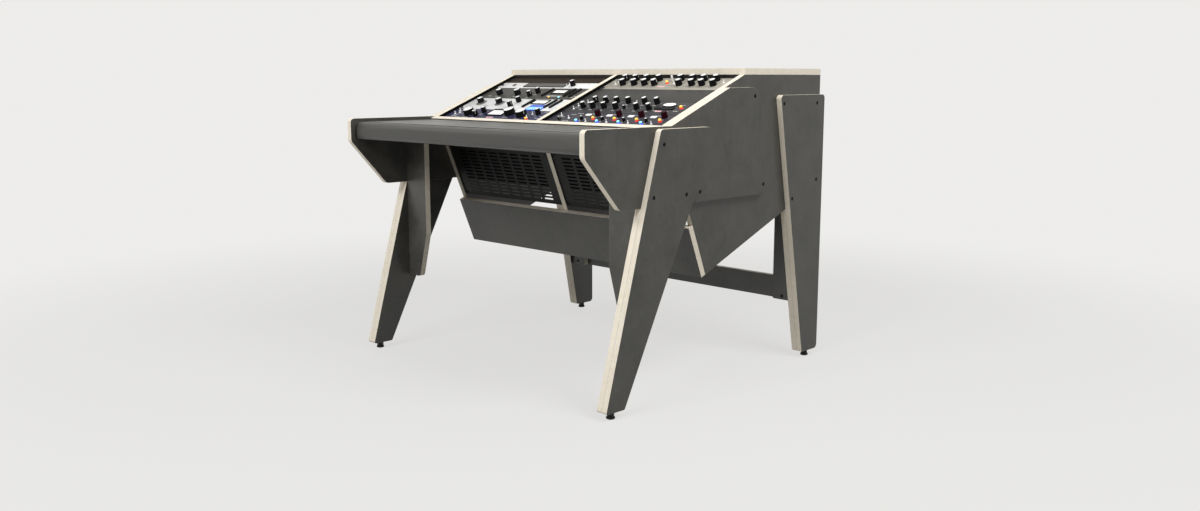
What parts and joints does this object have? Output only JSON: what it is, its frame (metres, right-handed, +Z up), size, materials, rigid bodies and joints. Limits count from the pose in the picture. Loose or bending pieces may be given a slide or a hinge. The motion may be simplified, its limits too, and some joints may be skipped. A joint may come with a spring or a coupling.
{
  "type": "studio desk",
  "caption": "Plywood studio desk with a padded front edge, sloped twin rack bays filled with audio equipment, splayed layered legs and levelling feet.",
  "frame": {"origin": "on the floor under the middle of the desk's bounding box", "axes": "+Z up, -Y towards the person who sits at the desk, +X to that person's right"},
  "size_m": [1.0948, 1.034, 0.9],
  "materials": {
    "painted_ply": "matte",
    "pad_vinyl": "satin",
    "black_steel": "satin",
    "foot_rubber": "matte",
    "knob_plastic": "satin",
    "red_plastic": "satin",
    "chrome": "polished",
    "navy_paint": "satin",
    "silver_paint": "satin",
    "dark_grey_paint": "satin",
    "white_paint": "satin",
    "brown_black_paint": "satin",
    "plum_grey_paint": "satin",
    "charcoal_paint": "satin",
    "beige_paint": "satin"
  },
  "bodies": {
    "desk": {"rack_side_left": "painted_ply", "wing_panel_left": "painted_ply", "front_leg_outer_left": "painted_ply", "front_leg_inner_left": "painted_ply", "rear_leg_outer_left": "painted_ply", "rear_leg_inner_left": "painted_ply", "front_gusset_left": "painted_ply", "rear_gusset_left": "painted_ply", "vent_panel_left": "black_steel", "rack_rail_outer_left": "black_steel", "rack_rail_inner_left": "black_steel", "rack_side_right": "painted_ply", "wing_panel_right": "painted_ply", "front_leg_outer_right": "painted_ply", "front_leg_inner_right": "painted_ply", "rear_leg_outer_right": "painted_ply", "rear_leg_inner_right": "painted_ply", "front_gusset_right": "painted_ply", "rear_gusset_right": "painted_ply", "vent_panel_right": "black_steel", "rack_rail_outer_right": "black_steel", "rack_rail_inner_right": "black_steel", "rack_divider": "painted_ply", "rear_beam": "painted_ply", "top_shelf": "painted_ply", "upper_front_board": "painted_ply", "lower_front_board": "painted_ply", "desktop": "painted_ply", "armrest_backing_board": "painted_ply", "armrest_pad": "pad_vinyl", "channel_strip": "navy_paint", "silver_compressor": "silver_paint", "grey_compressor": "dark_grey_paint", "audio_interface": "white_paint", "blank_panel_left": "brown_black_paint", "microphone_preamp": "plum_grey_paint", "equaliser": "charcoal_paint", "blank_panel_right": "charcoal_paint", "dual_equaliser": "beige_paint"},
    "front_levelling_foot_left": {"front_levelling_foot_left": "foot_rubber"},
    "front_levelling_foot_right": {"front_levelling_foot_right": "foot_rubber"},
    "rear_levelling_foot_left": {"rear_levelling_foot_left": "foot_rubber"},
    "rear_levelling_foot_right": {"rear_levelling_foot_right": "foot_rubber"},
    "channel_strip_knob_1": {"channel_strip_knob_1": "knob_plastic"},
    "channel_strip_knob_2": {"channel_strip_knob_2": "knob_plastic"},
    "channel_strip_knob_3": {"channel_strip_knob_3": "knob_plastic"},
    "silver_compressor_knob_1": {"silver_compressor_knob_1": "knob_plastic"},
    "silver_compressor_knob_2": {"silver_compressor_knob_2": "knob_plastic"},
    "silver_compressor_knob_3": {"silver_compressor_knob_3": "knob_plastic"},
    "silver_compressor_knob_4": {"silver_compressor_knob_4": "knob_plastic"},
    "grey_compressor_knob_1": {"grey_compressor_knob_1": "knob_plastic"},
    "grey_compressor_knob_2": {"grey_compressor_knob_2": "knob_plastic"},
    "grey_compressor_knob_3": {"grey_compressor_knob_3": "knob_plastic"},
    "grey_compressor_knob_4": {"grey_compressor_knob_4": "knob_plastic"},
    "audio_interface_knob_1": {"audio_interface_knob_1": "knob_plastic"},
    "microphone_preamp_knob_1": {"microphone_preamp_knob_1": "red_plastic"},
    "microphone_preamp_knob_2": {"microphone_preamp_knob_2": "red_plastic"},
    "microphone_preamp_knob_3": {"microphone_preamp_knob_3": "red_plastic"},
    "microphone_preamp_knob_4": {"microphone_preamp_knob_4": "red_plastic"},
    "dual_equaliser_toggle": {"dual_equaliser_toggle": "chrome"}
  },
  "joints": [
    {"name": "front_levelling_foot_left_turn", "type": "hinge", "parent": "desk", "child": "front_levelling_foot_left", "pos_m": [-0.5293, -0.425, 0], "axis": [0, 0, 1], "range_deg": [-1080, 1080]},
    {"name": "front_levelling_foot_right_turn", "type": "hinge", "parent": "desk", "child": "front_levelling_foot_right", "pos_m": [0.5293, -0.425, 0], "axis": [0, 0, 1], "range_deg": [-1080, 1080]},
    {"name": "rear_levelling_foot_left_turn", "type": "hinge", "parent": "desk", "child": "rear_levelling_foot_left", "pos_m": [-0.5111, 0.476, 0], "axis": [0, 0, 1], "range_deg": [-1080, 1080]},
    {"name": "rear_levelling_foot_right_turn", "type": "hinge", "parent": "desk", "child": "rear_levelling_foot_right", "pos_m": [0.5111, 0.476, 0], "axis": [0, 0, 1], "range_deg": [-1080, 1080]},
    {"name": "channel_strip_knob_1_turn", "type": "hinge", "parent": "desk", "child": "channel_strip_knob_1", "pos_m": [-0.38613, -0.14857, 0.75638], "axis": [0, -0.3746, 0.9272], "range_deg": [-150, 150]},
    {"name": "channel_strip_knob_2_turn", "type": "hinge", "parent": "desk", "child": "channel_strip_knob_2", "pos_m": [-0.19309, -0.1395, 0.76004], "axis": [0, -0.3746, 0.9272], "range_deg": [-150, 150]},
    {"name": "channel_strip_knob_3_turn", "type": "hinge", "parent": "desk", "child": "channel_strip_knob_3", "pos_m": [-0.12794, -0.14774, 0.75671], "axis": [0, -0.3746, 0.9272], "range_deg": [-150, 150]},
    {"name": "silver_compressor_knob_1_turn", "type": "hinge", "parent": "desk", "child": "silver_compressor_knob_1", "pos_m": [-0.42667, -0.06532, 0.79001], "axis": [0, -0.3746, 0.9272], "range_deg": [-150, 150]},
    {"name": "silver_compressor_knob_2_turn", "type": "hinge", "parent": "desk", "child": "silver_compressor_knob_2", "pos_m": [-0.33159, -0.06614, 0.78968], "axis": [0, -0.3746, 0.9272], "range_deg": [-150, 150]},
    {"name": "silver_compressor_knob_3_turn", "type": "hinge", "parent": "desk", "child": "silver_compressor_knob_3", "pos_m": [-0.25486, -0.0851, 0.78202], "axis": [0, -0.3746, 0.9272], "range_deg": [-150, 150]},
    {"name": "silver_compressor_knob_4_turn", "type": "hinge", "parent": "desk", "child": "silver_compressor_knob_4", "pos_m": [-0.25196, -0.0513, 0.79568], "axis": [0, -0.3746, 0.9272], "range_deg": [-150, 150]},
    {"name": "grey_compressor_knob_1_turn", "type": "hinge", "parent": "desk", "child": "grey_compressor_knob_1", "pos_m": [-0.41122, 0.0031, 0.81766], "axis": [0, -0.3746, 0.9272], "range_deg": [-150, 150]},
    {"name": "grey_compressor_knob_2_turn", "type": "hinge", "parent": "desk", "child": "grey_compressor_knob_2", "pos_m": [-0.32098, 0.00392, 0.81799], "axis": [0, -0.3746, 0.9272], "range_deg": [-150, 150]},
    {"name": "grey_compressor_knob_3_turn", "type": "hinge", "parent": "desk", "child": "grey_compressor_knob_3", "pos_m": [-0.251, -0.00515, 0.81432], "axis": [0, -0.3746, 0.9272], "range_deg": [-150, 150]},
    {"name": "grey_compressor_knob_4_turn", "type": "hinge", "parent": "desk", "child": "grey_compressor_knob_4", "pos_m": [-0.23604, 0.01876, 0.82398], "axis": [0, -0.3746, 0.9272], "range_deg": [-150, 150]},
    {"name": "audio_interface_knob_1_turn", "type": "hinge", "parent": "desk", "child": "audio_interface_knob_1", "pos_m": [-0.13228, 0.07646, 0.84729], "axis": [0, -0.3746, 0.9272], "range_deg": [-150, 150]},
    {"name": "microphone_preamp_knob_1_turn", "type": "hinge", "parent": "desk", "child": "microphone_preamp_knob_1", "pos_m": [0.18537, -0.12631, 0.76537], "axis": [0, -0.3746, 0.9272], "range_deg": [-150, 150]},
    {"name": "microphone_preamp_knob_2_turn", "type": "hinge", "parent": "desk", "child": "microphone_preamp_knob_2", "pos_m": [0.27127, -0.12631, 0.76537], "axis": [0, -0.3746, 0.9272], "range_deg": [-150, 150]},
    {"name": "microphone_preamp_knob_3_turn", "type": "hinge", "parent": "desk", "child": "microphone_preamp_knob_3", "pos_m": [0.35717, -0.12631, 0.76537], "axis": [0, -0.3746, 0.9272], "range_deg": [-150, 150]},
    {"name": "microphone_preamp_knob_4_turn", "type": "hinge", "parent": "desk", "child": "microphone_preamp_knob_4", "pos_m": [0.44307, -0.12631, 0.76537], "axis": [0, -0.3746, 0.9272], "range_deg": [-150, 150]},
    {"name": "dual_equaliser_toggle_tilt", "type": "hinge", "parent": "desk", "child": "dual_equaliser_toggle", "pos_m": [0.25486, 0.11932, 0.86461], "axis": [1, 0, 0], "range_deg": [-14, 14]}
  ]
}
